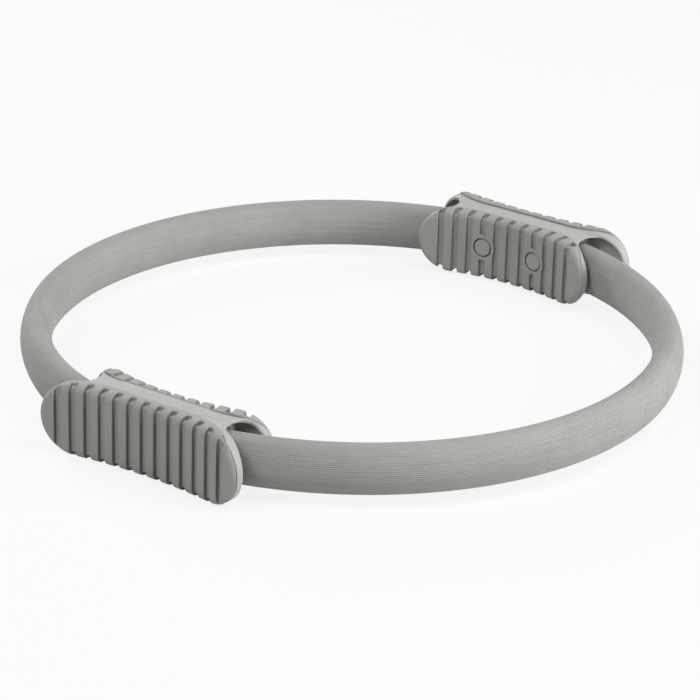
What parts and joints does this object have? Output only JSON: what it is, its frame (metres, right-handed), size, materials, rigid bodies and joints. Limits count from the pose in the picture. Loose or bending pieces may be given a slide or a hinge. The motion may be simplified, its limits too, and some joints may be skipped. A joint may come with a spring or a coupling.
{
  "type": "pilates ring",
  "caption": "Flexible exercise ring: a foam-sleeved spring hoop with ribbed padded handles on opposite sides, squeezed together or pushed apart by hands or legs.",
  "frame": {"origin": "centre of the ring, halfway between its two flat sides", "axes": "+Z along the ring's axis, upwards when it lies flat; +Y from the front handle to the rear handle; +X to the right"},
  "size_m": [0.38, 0.394, 0.0432],
  "materials": {
    "spring_strip": "smooth fibreglass strip",
    "sleeve_foam": "matt ridged foam",
    "shell_plastic": "satin moulded",
    "grip_rubber": "matt ribbed soft rubber",
    "screw_steel": "plain steel",
    "plug_plastic": "satin moulded"
  },
  "bodies": {
    "front_handle_and_hoop": {"left_inner_leaf": "spring_strip", "left_outer_leaf": "spring_strip", "left_sleeve": "sleeve_foam", "right_inner_leaf": "spring_strip", "right_outer_leaf": "spring_strip", "right_sleeve": "sleeve_foam", "front_outer_shell": "shell_plastic", "front_inner_shell": "shell_plastic", "front_outer_grip": "grip_rubber", "front_inner_grip": "grip_rubber", "front_left_screw": "screw_steel", "front_left_plug": "plug_plastic", "front_right_screw": "screw_steel", "front_right_plug": "plug_plastic"},
    "rear_handle": {"rear_outer_shell": "shell_plastic", "rear_inner_shell": "shell_plastic", "rear_outer_grip": "grip_rubber", "rear_inner_grip": "grip_rubber", "rear_left_screw": "screw_steel", "rear_left_plug": "plug_plastic", "rear_right_screw": "screw_steel", "rear_right_plug": "plug_plastic"}
  },
  "joints": [
    {"name": "squeeze", "type": "slide", "parent": "front_handle_and_hoop", "child": "rear_handle", "axis": [0, -1, 0], "range_m": [-0.025, 0.09], "stiffness_N_per_m": 1350, "deforming": ["left_inner_leaf", "left_outer_leaf", "left_sleeve", "right_inner_leaf", "right_outer_leaf", "right_sleeve"]}
  ]
}
